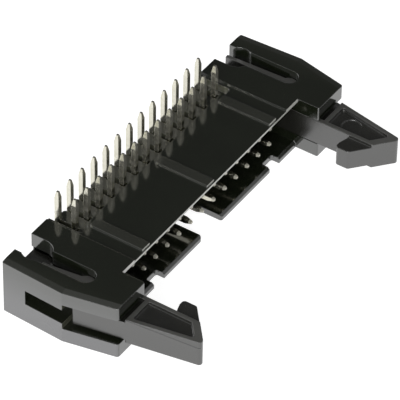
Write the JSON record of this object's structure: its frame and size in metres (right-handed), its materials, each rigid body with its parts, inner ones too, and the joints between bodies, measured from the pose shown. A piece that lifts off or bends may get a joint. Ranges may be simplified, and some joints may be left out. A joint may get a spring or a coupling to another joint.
{
  "type": "box header connector",
  "caption": "Right-angle board connector with a long open socket of bent square posts, a key slot, and swinging ejector latches at its ends.",
  "frame": {"origin": "on the flat rest face, midway along the pin row, under the front row of tails", "axes": "+X along the pin row, +Z the way the tails point, from the rest face to the board side, -Y out of the socket's mouth"},
  "size_m": [0.053, 0.0262, 0.0116],
  "materials": {
    "housing_black": "moulded gloss",
    "latch_black": "moulded satin",
    "tinned_post": "bright tin"
  },
  "bodies": {
    "housing": {"housing": "housing_black", "pin_near_1": "tinned_post", "pin_near_2": "tinned_post", "pin_near_3": "tinned_post", "pin_near_4": "tinned_post", "pin_near_5": "tinned_post", "pin_near_6": "tinned_post", "pin_near_7": "tinned_post", "pin_near_8": "tinned_post", "pin_near_9": "tinned_post", "pin_near_10": "tinned_post", "pin_near_11": "tinned_post", "pin_near_12": "tinned_post", "pin_near_13": "tinned_post", "pin_far_1": "tinned_post", "pin_far_2": "tinned_post", "pin_far_3": "tinned_post", "pin_far_4": "tinned_post", "pin_far_5": "tinned_post", "pin_far_6": "tinned_post", "pin_far_7": "tinned_post", "pin_far_8": "tinned_post", "pin_far_9": "tinned_post", "pin_far_10": "tinned_post", "pin_far_11": "tinned_post", "pin_far_12": "tinned_post", "pin_far_13": "tinned_post"},
    "latch_left": {"latch_left": "latch_black"},
    "latch_right": {"latch_right": "latch_black"}
  },
  "joints": [
    {"name": "latch_left_pivot", "type": "hinge", "parent": "housing", "child": "latch_left", "pos_m": [-0.02235, -0.00655, 0.004], "axis": [0, 0, -1], "range_deg": [0, 11]},
    {"name": "latch_right_pivot", "type": "hinge", "parent": "housing", "child": "latch_right", "pos_m": [0.02235, -0.00655, 0.004], "axis": [0, 0, 1], "range_deg": [0, 11]}
  ]
}
